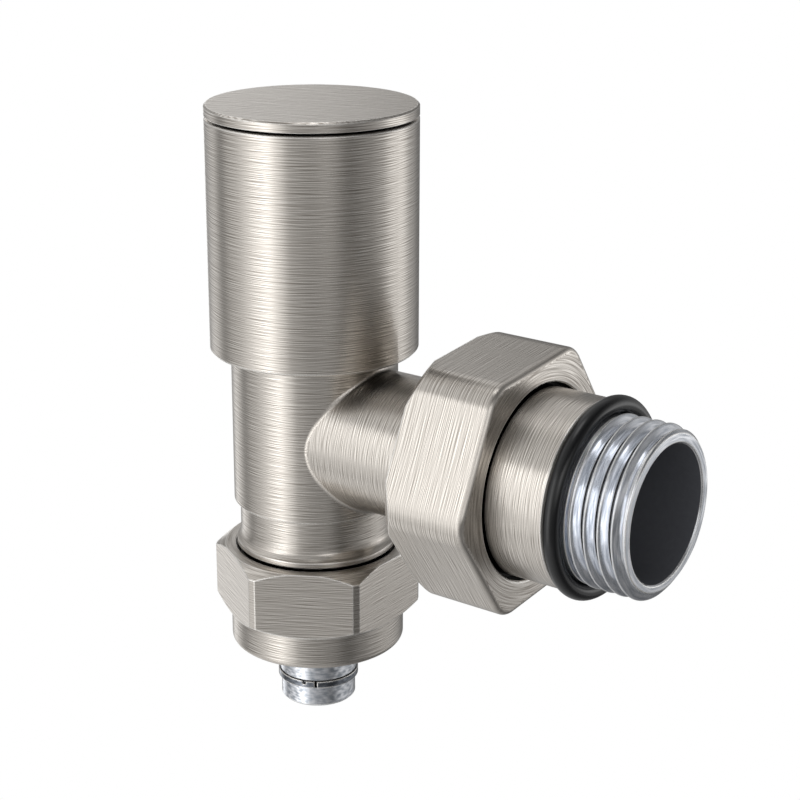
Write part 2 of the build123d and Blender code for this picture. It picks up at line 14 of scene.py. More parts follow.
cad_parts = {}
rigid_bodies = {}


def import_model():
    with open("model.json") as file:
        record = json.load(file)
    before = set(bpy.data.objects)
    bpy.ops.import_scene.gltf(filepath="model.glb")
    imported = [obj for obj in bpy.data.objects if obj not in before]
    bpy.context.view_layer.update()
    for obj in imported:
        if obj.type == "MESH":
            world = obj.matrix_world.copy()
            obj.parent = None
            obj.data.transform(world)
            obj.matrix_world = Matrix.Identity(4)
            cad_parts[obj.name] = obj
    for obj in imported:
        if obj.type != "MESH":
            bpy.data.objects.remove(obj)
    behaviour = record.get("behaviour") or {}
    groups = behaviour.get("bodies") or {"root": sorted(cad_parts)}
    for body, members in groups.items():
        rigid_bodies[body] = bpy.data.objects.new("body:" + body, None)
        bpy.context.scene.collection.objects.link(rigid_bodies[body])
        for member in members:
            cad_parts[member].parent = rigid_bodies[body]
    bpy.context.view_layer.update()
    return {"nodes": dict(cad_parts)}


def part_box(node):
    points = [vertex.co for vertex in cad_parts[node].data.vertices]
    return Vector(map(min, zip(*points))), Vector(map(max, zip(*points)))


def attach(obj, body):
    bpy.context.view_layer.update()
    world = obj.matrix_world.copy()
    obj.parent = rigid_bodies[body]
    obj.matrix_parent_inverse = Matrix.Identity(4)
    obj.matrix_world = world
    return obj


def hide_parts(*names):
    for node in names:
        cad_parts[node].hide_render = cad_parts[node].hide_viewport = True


MM = 0.001
UP = (0, 0, 1)
OUT = (1, 0, 0)

for leftover in list(bpy.data.objects):
    bpy.data.objects.remove(leftover)
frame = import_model()

# Places read from the frame. The origin is where the radiator thread starts, on the branch axis.
sleeve_low, sleeve_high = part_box("head_sleeve")
tail_low, tail_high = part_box("union_tail")
BARREL = ((sleeve_low.x + sleeve_high.x) / 2, 0, 0)     # where the upright axis meets the branch axis
BRANCH = (0, 0, 0)
TAIL_START_X = tail_low.x
TAIL_END_X = tail_high.x
NUT_MOUTH_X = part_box("union_nut")[1].x
COLLAR_FOOT, PIPE_NUT_TOP = [corner.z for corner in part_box("pipe_nut")]
RING_LOW, RING_HIGH = [corner.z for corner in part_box("snap_ring")]
LID_H = 1.31 * MM         # the disc's own thickness, down to the groove
LID_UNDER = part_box("head_lid")[1].z - LID_H

# Places on the body, as the frame has them
STEP_Z = -9.9 * MM
STEP_R = 10.2 * MM
FLARE_TOP = -14.2 * MM
BEAD_TOP = -15.3 * MM
BEAD_FOOT = -16.2 * MM
BRANCH_START_R = 10.95 * MM

# The radiator thread, a 1/2 inch pipe thread
THREAD_PITCH = 25.4 * MM / 14
THREAD_CREST_R = 20.955 * MM / 2
THREAD_DEPTH = 0.6403 * THREAD_PITCH
THREAD_START = 0.15 * MM
THREAD_SHARPNESS = 0.93   # 1 would be a sharp V, and less rounds its crests and its roots
THREAD_STEPS = 200        # along the thread
TURN_STEPS = 144          # round the tail
BRIGHT_FLANK = 0.96       # the share of the thread's depth, from its crest, outside the painted shade in the root

# The tail's other sizes, as the frame has them
SPIGOT_R = 9.85 * MM
FLANGE_X = TAIL_START_X + 4.7 * MM
FLANGE_R = 12.95 * MM
FLANGE_H = 2.4 * MM
TAIL_R = 11.72 * MM
SHOULDER_X = -2.25 * MM
SHOULDER_BREAK = 0.12 * MM
SEAL_GROOVE_R = 10.26 * MM
SEAL_GROOVE_END_X = -0.05 * MM
BORE_R = 8.42 * MM
KEY_R = 6 * MM            # the fitting key's hexagon, to the middle of a flat
KEY_DEPTH = 11 * MM
KEY_CONE_BEND = 0.4       # how far up the cone behind it the hexagon's corners end
EDGE_BREAK = 0.2 * MM
END_CHAMFER = 0.85 * MM
SHARP_EDGE = math.radians(32)
NEAR = 0.01 * MM          # two lengths that differ by less are the same place

# Zones about an axis: a radius, and two places along the axis. Apart from the flare they are painted shade:
# near-black colour in a bore, in a groove or in a narrow gap, where shade falls. Each ends a little beyond or
# before the edge that it belongs to.
ALL_ALONG = (-1, 1)
ANY_R = 1
HEAD_INSIDE = (12.6 * MM, ALL_ALONG)
UNION_NUT_INSIDE = (12.24 * MM, ALL_ALONG)
TAIL_IN_NUT = (13 * MM, (-1, NUT_MOUTH_X - 0.1 * MM))
UNDER_STEP = (STEP_R, (STEP_Z - 0.1 * MM, STEP_Z + 0.03 * MM))
UNDER_BEAD = (11 * MM, (PIPE_NUT_TOP - 0.5 * MM, BEAD_FOOT + 0.02 * MM))
PIPE_NUT_INSIDE = (10.5 * MM, (COLLAR_FOOT + 0.05 * MM, 0))
PIPE_NUT_RIM = (10.75 * MM, (PIPE_NUT_TOP - 0.1 * MM, 0))
LID_GROOVE = (ANY_R, (0, LID_UNDER - 0.01 * MM))
RING_GROOVE = (6 * MM, (RING_LOW - 0.12 * MM, RING_HIGH + 0.12 * MM))
THREAD_ROOTS = (THREAD_CREST_R - BRIGHT_FLANK * THREAD_DEPTH, (0, TAIL_END_X - END_CHAMFER))
FLARE = (BRANCH_START_R, (BEAD_TOP, FLARE_TOP))
FLARE_RISE = 1.1          # how far the flare's foot leans upwards

# Brush lines. A real one is about 0.02 mm wide, and this is as coarse as it needs to be to show.
GRAIN_W = 0.075 * MM
TURN_RATE = 3             # a line runs about 4.5 mm round the barrel before it fades
LID_GRAIN_W = 0.14 * MM
LID_GRAIN_L = 4 * MM
LID_GRAIN_ANGLE = math.radians(20)
LID_TOP_FACING = 0.7      # a face that looks up more than this has the top's lines, as its chamfer does
LINE_STEP = 1.75          # from a bright line to the dark one beside it, in widths
LINE_CONTRAST = 0.29      # the difference of two noises at which a line is fully bright or dark
STREAK_SCALE = 1 / 5      # a streak is five times as wide and long as a line
STREAK_CONTRAST = 0.015
NOISE_LOW, NOISE_HIGH = 0.3, 0.7      # most of a noise lies between these
GLOSS_CHANGE = 0.04       # a bright line is this much smoother than the middle, and a dark one rougher

# The marks on bright plate, by their width
FINE_MOTTLE = 0.2 * MM
BROAD_MOTTLE = 0.35 * MM
MOTTLE_TURN_RATE = 20 / MM      # as TURN_RATE, for each metre of a mark's width

# Edges. Each is a little rounded in its shading and smoother, and painted near-white there as a painted
# highlight.
EDGE_R = 0.25 * MM
LID_EDGE_R = 0.14 * MM
UNION_NUT_EDGE_R = 0.32 * MM
EDGE_START, EDGE_FULL = 0.992, 0.96   # cosine of the angle between the face and its rounded edge
EDGE_ROUGHNESS = 0.4
EDGE_SAMPLES = 6

NICKEL = {"colour": "#e8e3dc", "shade": "#968f87", "roughness": 0.3, "anisotropy": 0.8, "tilt": 0.01}
# painted highlight: the near-white colour laid along every edge
PAINTED_EDGE_HIGHLIGHT = "#fffdf9"
# painted shade: the near-black colour laid into bores, grooves and narrow gaps
PAINTED_SHADE = "#0c0b0a"

COLOUR_A, COLOUR_B, COLOUR_OUT = 6, 7, 2      # a Mix node's sockets for colours
ACROSS_THE_LINES = 0.25   # a quarter turn, which stretches each highlight across the lines

# What a finish on a turned piece follows: its axis, the unit direction out from it, the radius, the place
# along it, and the way round it
Turning = namedtuple("Turning", "axis out radius along way")

# Coordinates in which noise becomes brush lines, the same again a line's breadth aside, and the way that the
# lines run
Grain = namedtuple("Grain", "vector fourth next_vector next_fourth way")


def linear(colour):
    """An sRGB hex colour as the linear RGBA that a shader takes."""
    parts = [int(colour[i : i + 2], 16) / 255 for i in (1, 3, 5)]
    return [p / 12.92 if p <= 0.04045 else ((p + 0.055) / 1.055) ** 2.4 for p in parts] + [1]


def add(tree, kind, inputs=None, **settings):
    """Adds a node. inputs maps a socket's name or number to a value, or to the output that feeds it."""
    node = tree.nodes.new(kind)
    for name, value in settings.items():
        setattr(node, name, value)
    for key, value in (inputs or {}).items():
        if isinstance(value, bpy.types.NodeSocket):
            tree.links.new(value, node.inputs[key])
        else:
            node.inputs[key].default_value = value
    return node


def new_material(name):
    material = bpy.data.materials.new(name)
    material.use_nodes = True
    material.node_tree.nodes.clear()
    return material, material.node_tree


def finish_material(tree, shader):
    add(tree, "ShaderNodeOutputMaterial", {"Surface": shader.outputs[0]})


def seen_from(tree, centre):
    """Object coordinates, counted from a point."""
    place = add(tree, "ShaderNodeTexCoord").outputs["Object"]
    return add(tree, "ShaderNodeVectorMath", {0: place, 1: centre}, operation="SUBTRACT").outputs[0]


def facing(tree, direction):
    """How far a face looks in a direction, from -1 to 1."""
    normal = add(tree, "ShaderNodeTexCoord").outputs["Normal"]
    compared = {0: normal, 1: direction}
    return add(tree, "ShaderNodeVectorMath", compared, operation="DOT_PRODUCT").outputs["Value"]


def around(tree, axis, centre):
    """What a finish follows on a piece that was turned about an axis."""
    direction = Vector(axis)
    across = Vector((1, 1, 1)) - direction
    moved = seen_from(tree, centre)
    flat = add(tree, "ShaderNodeVectorMath", {0: moved, 1: across}, operation="MULTIPLY").outputs[0]
    radius = add(tree, "ShaderNodeVectorMath", {0: flat}, operation="LENGTH").outputs["Value"]
    out = add(tree, "ShaderNodeVectorMath", {0: flat}, operation="NORMALIZE").outputs[0]
    along_in = {0: moved, 1: direction}
    along = add(tree, "ShaderNodeVectorMath", along_in, operation="DOT_PRODUCT").outputs["Value"]
    way = add(tree, "ShaderNodeVectorMath", {0: direction, 1: out}, operation="CROSS_PRODUCT").outputs[0]
    return Turning(axis, out, radius, along, way)


def inside(tree, turning, radius, places):
    """1 inside a zone and 0 elsewhere."""
    masks = []
    for value, (low, high) in ((turning.radius, (0, radius)), (turning.along, places)):
        limits = {0: value, 1: (low + high) / 2, 2: (high - low) / 2}
        masks.append(add(tree, "ShaderNodeMath", limits, operation="COMPARE").outputs[0])
    return add(tree, "ShaderNodeMath", {0: masks[0], 1: masks[1]}, operation="MULTIPLY").outputs[0]


def painted_shade_mask(tree, turning, zones):
    """1 inside any of the zones, where shade is painted in, and 0 elsewhere, or nothing where there are no
    zones.
    """
    dark = None
    for radius, places in zones:
        mask = inside(tree, turning, radius, places)
        if dark is not None:
            mask = add(tree, "ShaderNodeMath", {0: dark, 1: mask}, operation="MAXIMUM").outputs[0]
        dark = mask
    return dark


def turned_grain(tree, turning, width, turn_rate):
    """Fine lines round an axis, on its cylinders and on its flat ends."""
    slow_in = {0: turning.out, "Scale": turn_rate}
    slow = add(tree, "ShaderNodeVectorMath", slow_in, operation="SCALE").outputs[0]
    fast = add(tree, "ShaderNodeMath", {0: turning.along, 1: width}, operation="DIVIDE").outputs[0]
    up = add(tree, "ShaderNodeVectorMath", {0: turning.axis, "Scale": fast}, operation="SCALE").outputs[0]
    vector = add(tree, "ShaderNodeVectorMath", {0: slow, 1: up}, operation="ADD").outputs[0]
    flatness = add(tree, "ShaderNodeMath", {0: facing(tree, turning.axis)}, operation="ABSOLUTE").outputs[0]
    rings = add(tree, "ShaderNodeMath", {0: turning.radius, 1: width}, operation="DIVIDE").outputs[0]
    fourth = add(tree, "ShaderNodeMath", {0: rings, 1: flatness}, operation="MULTIPLY").outputs[0]
    aside = Vector(turning.axis) * LINE_STEP
    next_vector = add(tree, "ShaderNodeVectorMath", {0: vector, 1: aside}, operation="ADD").outputs[0]
    ring_aside = {0: flatness, 1: LINE_STEP, 2: fourth}
    next_fourth = add(tree, "ShaderNodeMath", ring_aside, operation="MULTIPLY_ADD").outputs[0]
    return Grain(vector, fourth, next_vector, next_fourth, turning.way)


def straight_grain(tree, angle, width, length):
    """Straight fine lines on a level face."""
    place = add(tree, "ShaderNodeTexCoord").outputs["Object"]
    turned = add(tree, "ShaderNodeMapping", {"Vector": place, "Rotation": (0, 0, -angle)}).outputs[0]
    scale = (1 / length, 1 / width, 1 / width)
    vector = add(tree, "ShaderNodeVectorMath", {0: turned, 1: scale}, operation="MULTIPLY").outputs[0]
    aside = (0, LINE_STEP, 0)
    next_vector = add(tree, "ShaderNodeVectorMath", {0: vector, 1: aside}, operation="ADD").outputs[0]
    way = add(tree, "ShaderNodeCombineXYZ", {0: math.cos(angle), 1: math.sin(angle), 2: 0}).outputs[0]
    return Grain(vector, 0.0, next_vector, 0.0, way)


def either_grain(tree, mask, first, second):
    """The first grain where the mask is 0, and the second where it is 1."""
    mixed = []
    for name, a, b in zip(Grain._fields, first, second):
        if "fourth" in name:
            mixed.append(add(tree, "ShaderNodeMix", {0: mask, 2: a, 3: b}).outputs[0])
        else:
            mixed.append(add(tree, "ShaderNodeMix", {0: mask, 4: a, 5: b}, data_type="VECTOR").outputs[1])
    return Grain(*mixed)


def brush_lines(tree, grain):
    """Brush lines from 0, dark, to 1, bright, and the metal's tone: the same lines with faint streaks."""
    line_in = {"Vector": grain.vector, "W": grain.fourth, "Scale": 1, "Detail": 0}
    next_in = {"Vector": grain.next_vector, "W": grain.next_fourth, "Scale": 1, "Detail": 0}
    broad_in = line_in | {"Scale": STREAK_SCALE, "Detail": 1, "Roughness": 0.5}
    line = add(tree, "ShaderNodeTexNoise", line_in, noise_dimensions="4D").outputs["Fac"]
    beside = add(tree, "ShaderNodeTexNoise", next_in, noise_dimensions="4D").outputs["Fac"]
    broad = add(tree, "ShaderNodeTexNoise", broad_in, noise_dimensions="4D").outputs["Fac"]
    contrast = add(tree, "ShaderNodeMath", {0: line, 1: beside}, operation="SUBTRACT").outputs[0]
    line_range = {"Value": contrast, "From Min": -LINE_CONTRAST, "From Max": LINE_CONTRAST}
    lines = add(tree, "ShaderNodeMapRange", line_range).outputs[0]
    streak_range = {
        "Value": broad,
        "From Min": NOISE_LOW,
        "From Max": NOISE_HIGH,
        "To Min": -STREAK_CONTRAST,
        "To Max": STREAK_CONTRAST,
    }
    streaks = add(tree, "ShaderNodeMapRange", streak_range).outputs[0]
    tone = add(tree, "ShaderNodeMath", {0: lines, 1: streaks}, operation="ADD", use_clamp=True).outputs[0]
    return lines, tone


def brushed_metal(
    tree, grain, colour, shade, roughness, anisotropy, tilt, dark=None, rise=None, edge_r=EDGE_R, metallic=1
):
    """Metal brushed along the grain: fine lines that vary its tone and gloss and lean its reflections.

    Its edges are a little rounded and smoother, and carry a painted highlight: a near-white colour. dark is 1
    inside a bore or a groove, where shade is painted in as near-black. rise leans the surface upwards, for a
    small hollow that the shape doesn't have.
    """
    lines, tone = brush_lines(tree, grain)

    face = add(tree, "ShaderNodeNewGeometry").outputs["Normal"]
    rounded = add(tree, "ShaderNodeBevel", {"Radius": edge_r}, samples=EDGE_SAMPLES).outputs[0]
    agree = add(tree, "ShaderNodeVectorMath", {0: face, 1: rounded}, operation="DOT_PRODUCT").outputs["Value"]
    # where the rounded normal turns away from the face: a painted highlight, and a smoother surface
    edge_range = {"Value": agree, "From Min": EDGE_START, "From Max": EDGE_FULL}
    edge = add(tree, "ShaderNodeMapRange", edge_range).outputs[0]

    # the lines' tone, then a painted highlight along the edges, then painted shade in the dark zones
    layers = [(tone, linear(colour)), (edge, linear(PAINTED_EDGE_HIGHLIGHT))]
    if dark is not None:
        layers.append((dark, linear(PAINTED_SHADE)))
    base = linear(shade)
    for mask, layer in layers:
        mix_in = {0: mask, COLOUR_A: base, COLOUR_B: layer}
        base = add(tree, "ShaderNodeMix", mix_in, data_type="RGBA").outputs[COLOUR_OUT]

    gloss_range = {"Value": lines, "To Min": roughness + GLOSS_CHANGE, "To Max": roughness - GLOSS_CHANGE}
    gloss = add(tree, "ShaderNodeMapRange", gloss_range).outputs[0]
    gloss = add(tree, "ShaderNodeMix", {0: edge, 2: gloss, 3: EDGE_ROUGHNESS}).outputs[0]

    to_world = {"vector_type": "VECTOR", "convert_from": "OBJECT", "convert_to": "WORLD"}
    way = add(tree, "ShaderNodeVectorTransform", {0: grain.way}, **to_world).outputs[0]
    lean = add(tree, "ShaderNodeMapRange", {"Value": lines, "To Min": -tilt, "To Max": tilt}).outputs[0]
    push = add(tree, "ShaderNodeVectorMath", {0: way, "Scale": lean}, operation="SCALE").outputs[0]
    leaned = add(tree, "ShaderNodeVectorMath", {0: rounded, 1: push}, operation="ADD").outputs[0]
    if rise is not None:
        lift = add(tree, "ShaderNodeVectorMath", {0: UP, "Scale": rise}, operation="SCALE").outputs[0]
        leaned = add(tree, "ShaderNodeVectorMath", {0: leaned, 1: lift}, operation="ADD").outputs[0]
    normal = add(tree, "ShaderNodeVectorMath", {0: leaned}, operation="NORMALIZE").outputs[0]
    return add(
        tree,
        "ShaderNodeBsdfPrincipled",
        {
            "Base Color": base,
            "Metallic": metallic,
            "Roughness": gloss,
            "Anisotropic": anisotropy,
            "Anisotropic Rotation": ACROSS_THE_LINES,
            "Tangent": way,
            "Normal": normal,
        },
    )


# Finishes


def brushed_nickel(name, axis, centre, *shaded_zones, edge_r=EDGE_R):
    """Satin nickel plate, brushed round its own axis: warm grey, with long soft bands along the axis."""
    material, tree = new_material(name)
    turning = around(tree, axis, centre)
    # painted shade in the zones given
    dark = painted_shade_mask(tree, turning, shaded_zones)
    grain = turned_grain(tree, turning, GRAIN_W, TURN_RATE)
    finish_material(tree, brushed_metal(tree, grain, **NICKEL, dark=dark, edge_r=edge_r))
    return material


def brushed_nickel_body(name):
    """The body's nickel plate: brushed round the barrel, and on the branch round the branch.

    The flare above the bead is drawn a little hollow.
    """
    material, tree = new_material(name)
    barrel = around(tree, UP, BARREL)
    branch = around(tree, OUT, BRANCH)
    # painted shade under the step and in the gap under the bead
    dark = painted_shade_mask(tree, barrel, (UNDER_BEAD, UNDER_STEP))
    on_branch = {0: barrel.radius, 1: BRANCH_START_R}
    mask = add(tree, "ShaderNodeMath", on_branch, operation="GREATER_THAN").outputs[0]
    barrel_grain = turned_grain(tree, barrel, GRAIN_W, TURN_RATE)
    branch_grain = turned_grain(tree, branch, GRAIN_W, TURN_RATE)
    grain = either_grain(tree, mask, barrel_grain, branch_grain)
    rise_range = {"Value": barrel.along, "From Min": FLARE_TOP, "From Max": BEAD_TOP, "To Max": FLARE_RISE}
    slope = add(tree, "ShaderNodeMapRange", rise_range).outputs[0]
    flare = inside(tree, barrel, *FLARE)
    rise = add(tree, "ShaderNodeMath", {0: flare, 1: slope}, operation="MULTIPLY").outputs[0]
    finish_material(tree, brushed_metal(tree, grain, **NICKEL, dark=dark, rise=rise))
    return material


def brushed_nickel_lid(name):
    """The lid's nickel plate: straight lines on its top, turned lines on its rim, and painted shade in the
    groove below.
    """
    material, tree = new_material(name)
    turning = around(tree, UP, BARREL)
    # painted shade in the groove under the lid
    dark = painted_shade_mask(tree, turning, (LID_GROOVE,))
    looks_up = {0: facing(tree, UP), 1: LID_TOP_FACING}
    top = add(tree, "ShaderNodeMath", looks_up, operation="GREATER_THAN").outputs[0]
    rim_grain = turned_grain(tree, turning, GRAIN_W, TURN_RATE)
    top_grain = straight_grain(tree, LID_GRAIN_ANGLE, LID_GRAIN_W, LID_GRAIN_L)
    grain = either_grain(tree, top, rim_grain, top_grain)
    settings = NICKEL | {"anisotropy": 0.7, "edge_r": LID_EDGE_R}
    finish_material(tree, brushed_metal(tree, grain, **settings, dark=dark))
    return material


def bright_plating(
    name, axis, centre, *shaded_zones, colour="#f8faff", shade="#c0c5cd", mottle=FINE_MOTTLE, metallic=1
):
    """Bright zinc or chrome plate straight from the lathe: cold, nearly white, with faint turning marks.

    mottle is the breadth of its marks. A metallic below 1 stands for the faint white bloom on zinc.
    """
    material, tree = new_material(name)
    turning = around(tree, axis, centre)
    # painted shade in the zones given
    dark = painted_shade_mask(tree, turning, shaded_zones)
    grain = turned_grain(tree, turning, mottle, MOTTLE_TURN_RATE * mottle)
    plate = {"roughness": 0.14, "anisotropy": 0.3, "tilt": 0.03, "metallic": metallic}
    finish_material(tree, brushed_metal(tree, grain, colour, shade, **plate, dark=dark))
    return material


def plain_finish(name, colour, shade, roughness, metallic, grit, bump):
    """A finish with an even grain. grit is its breadth and bump its height."""
    material, tree = new_material(name)
    place = add(tree, "ShaderNodeTexCoord").outputs["Object"]
    noise_in = {"Vector": place, "Scale": 1 / grit, "Detail": 4, "Roughness": 0.6}
    noise = add(tree, "ShaderNodeTexNoise", noise_in).outputs["Fac"]
    mix_in = {0: noise, COLOUR_A: linear(shade), COLOUR_B: linear(colour)}
    base = add(tree, "ShaderNodeMix", mix_in, data_type="RGBA").outputs[COLOUR_OUT]
    raised = add(tree, "ShaderNodeBump", {"Height": noise, "Strength": 1, "Distance": bump}).outputs[0]
    shader = add(
        tree,
        "ShaderNodeBsdfPrincipled",
        {
            "Base Color": base,
            "Metallic": metallic,
            "Roughness": roughness,
            "Normal": raised,
        },
    )
    finish_material(tree, shader)
    return material


def thread_plating():
    """Bright plate on the radiator thread, with painted shade in its roots, and a little whiter than bare
    metal.
    """
    return bright_plating("bright plate, radiator thread", OUT, BRANCH, THREAD_ROOTS, metallic=0.82)


def insert_plating():
    """Bright plate with broader smudges than the thread's, with painted shade in the ring's groove."""
    looks = {"shade": "#b2b8c0", "mottle": BROAD_MOTTLE, "metallic": 0.85}
    return bright_plating("bright plate, pipe insert", UP, BARREL, RING_GROOVE, **looks)


def ring_plating():
    """A duller, darker grey plate than that of the tube which the ring grips."""
    looks = {"colour": "#8f949c", "shade": "#62666d", "mottle": BROAD_MOTTLE}
    return bright_plating("grey plate, snap ring", UP, BARREL, **looks)


def matt_bore():
    """The waterway's inside: dark and without a shine, as the photo shows it."""
    surface = {"roughness": 0.8, "metallic": 0, "grit": 0.6 * MM, "bump": 0.01 * MM}
    return plain_finish("dark matt bore", "#64666c", "#585a60", **surface)


def moulded_rubber():
    """Rubber from a mould: black and smooth, with a soft sheen."""
    surface = {"roughness": 0.24, "metallic": 0, "grit": 0.5 * MM, "bump": 0.004 * MM}
    return plain_finish("moulded rubber", "#0e0f11", "#0b0c0e", **surface)


def turned_brass():
    """Brass from the lathe: yellow and bright."""
    surface = {"roughness": 0.28, "metallic": 1, "grit": 0.4 * MM, "bump": 0.004 * MM}
    return plain_finish("turned brass", "#c9a860", "#b89650", **surface)


def bright_steel():
    """Stainless steel of bought screws and clips: a pale neutral grey."""
    surface = {"roughness": 0.3, "metallic": 1, "grit": 0.4 * MM, "bump": 0.004 * MM}
    return plain_finish("bright steel", "#c9c9c6", "#b4b4b2", **surface)


def moulded_acetal():
    """Acetal from a mould: off-white and a little waxy."""
    surface = {"roughness": 0.4, "metallic": 0, "grit": 0.8 * MM, "bump": 0.003 * MM}
    return plain_finish("moulded acetal", "#ece9e1", "#e2ded4", **surface)


# The tail


def thread_drop(x, angle):
    """How far the thread's surface lies below its crest, at a place along and round the axis."""
    turn = (x + THREAD_START) / THREAD_PITCH - angle / math.tau
    wave = math.asin(THREAD_SHARPNESS * math.cos(math.tau * turn)) / math.asin(THREAD_SHARPNESS)
    return THREAD_DEPTH * (0.5 - 0.5 * wave)


def tail_outline():
    """The tail's closed half section as (x, radius) points, round by the outside and back along the bore."""
    shoulder = [
        (TAIL_START_X, SPIGOT_R - EDGE_BREAK),
        (TAIL_START_X + EDGE_BREAK, SPIGOT_R),
        (FLANGE_X, SPIGOT_R),
        (FLANGE_X, FLANGE_R),
        (FLANGE_X + FLANGE_H, FLANGE_R),
        (FLANGE_X + FLANGE_H, TAIL_R),
        (NUT_MOUTH_X, TAIL_R),
        (SHOULDER_X - SHOULDER_BREAK, TAIL_R),
        (SHOULDER_X, TAIL_R - SHOULDER_BREAK),
        (SHOULDER_X, SEAL_GROOVE_R),
        (SEAL_GROOVE_END_X, SEAL_GROOVE_R),
    ]
    crests = [(TAIL_END_X * i / THREAD_STEPS, THREAD_CREST_R) for i in range(THREAD_STEPS + 1)]
    key_end = TAIL_START_X + KEY_DEPTH
    cone_h = BORE_R - KEY_R
    bore = [
        (TAIL_END_X, BORE_R + EDGE_BREAK),
        (TAIL_END_X - EDGE_BREAK, BORE_R),
        (key_end + cone_h, BORE_R),
        (key_end + KEY_CONE_BEND * cone_h, KEY_R / math.cos(math.pi / 6)),
        (key_end, KEY_R),
        (TAIL_START_X, KEY_R),
    ]
    return shoulder + crests + bore


def spin_tail(bm):
    verts = [bm.verts.new((x, 0, r)) for x, r in tail_outline()]
    edges = [bm.edges.new((a, b)) for a, b in zip(verts, verts[1:] + verts[:1])]
    bmesh.ops.spin(
        bm,
        geom=verts + edges,
        cent=BRANCH,
        axis=OUT,
        angle=math.tau,
        steps=TURN_STEPS,
        use_merge=True,
    )


def cut_thread_and_key(bm):
    """Draws the crests' cylinder in to the thread and its chamfer, and the key's hole out to a hexagon."""
    key_end = TAIL_START_X + KEY_DEPTH
    for v in bm.verts:
        radius = math.hypot(v.co.y, v.co.z)
        angle = math.atan2(v.co.z, v.co.y)
        goal = radius
        if v.co.x > -NEAR and abs(radius - THREAD_CREST_R) < NEAR:
            chamfer = THREAD_CREST_R - END_CHAMFER + (TAIL_END_X - v.co.x)
            goal = min(THREAD_CREST_R - thread_drop(v.co.x, angle), chamfer)
        elif v.co.x < key_end + NEAR and abs(radius - KEY_R) < NEAR:
            from_flat = angle % (math.pi / 3) - math.pi / 6
            goal = KEY_R / math.cos(from_flat)
        v.co.y *= goal / radius
        v.co.z *= goal / radius


def mark_tail(bm):
    """Gives the nickel, the thread's plate and the bore their slots, 0 to 2, and keeps hard edges hard."""
    for f in bm.faces:
        middle = f.calc_center_median()
        f.smooth = True
        if middle.x > SHOULDER_X - NEAR:
            f.material_index = 1
        if math.hypot(middle.y, middle.z) < BORE_R + NEAR:
            f.material_index = 2
    for e in bm.edges:
        if e.calc_face_angle(0) > SHARP_EDGE:
            e.smooth = False


def make_tail():
    """The tail with its real thread, its chamfered end and the hexagon for the fitting key inside."""
    bm = bmesh.new()
    spin_tail(bm)
    cut_thread_and_key(bm)
    bmesh.ops.recalc_face_normals(bm, faces=bm.faces)
    mark_tail(bm)
    mesh = bpy.data.meshes.new("tail")
    bm.to_mesh(mesh)
    bm.free()
    piece = bpy.data.objects.new("threaded_tail", mesh)
    bpy.context.scene.collection.objects.link(piece)
    # painted shade on the tail where it runs inside the union nut
    mesh.materials.append(brushed_nickel("brushed nickel plate, tail", OUT, BRANCH, TAIL_IN_NUT))
    mesh.materials.append(thread_plating())
    mesh.materials.append(matt_bore())
    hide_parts("union_tail")
    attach(piece, "tail")


# Materials for the pieces that the frame holds


def paint(material, *names):
    """Gives frame pieces a material, in the slots that their meshes already have."""
    for name in names:
        for slot in frame["nodes"][name].material_slots:
            slot.material = material


def paint_frame_pieces():
    # painted shade inside the head's sleeve
    paint(brushed_nickel("brushed nickel plate, head", UP, BARREL, HEAD_INSIDE), "head_sleeve")
    paint(brushed_nickel_lid("brushed nickel plate, lid"), "head_lid")
    paint(brushed_nickel_body("brushed nickel plate, body"), "valve_body")
    # painted shade inside the union nut
    soft_edged = brushed_nickel(
        "brushed nickel plate, union nut", OUT, BRANCH, UNION_NUT_INSIDE, edge_r=UNION_NUT_EDGE_R
    )
    paint(soft_edged, "union_nut")
    # painted shade inside the pipe nut and on its top rim round the bead
    pipe_nut = brushed_nickel("brushed nickel plate, pipe nut", UP, BARREL, PIPE_NUT_INSIDE, PIPE_NUT_RIM)
    paint(pipe_nut, "pipe_nut")
    paint(insert_plating(), "pipe_insert")
    paint(ring_plating(), "snap_ring")
    rubber = moulded_rubber()
    paint(rubber, "tail_seal", "union_seal", "bonnet_seal", "insert_seal", "seat_washer")
    paint(rubber, "pipe_seal_upper", "pipe_seal_lower", "spindle_seal_lower", "spindle_seal_upper")
    paint(turned_brass(), "bonnet", "spindle", "plug_carrier", "clamp_ring")
    paint(bright_steel(), "head_screw", "washer_screw", "spindle_clip")
    paint(moulded_acetal(), "head_core", "thrust_washer")


# The studio: a round curtain with bright and dark stretches, a paper roof and a paper ground, all lit

CURTAIN_R = 0.6
CURTAIN_FOOT = -0.44
CURTAIN_TOP = 0.38
STUDIO_MIDDLE = (-31 * MM, 0, 2 * MM)
STUDIO_SEGMENTS = 64
FLOOR_Z = -0.45
FLOOR_SIZE = 4
SOFT_LIGHT = 0.55

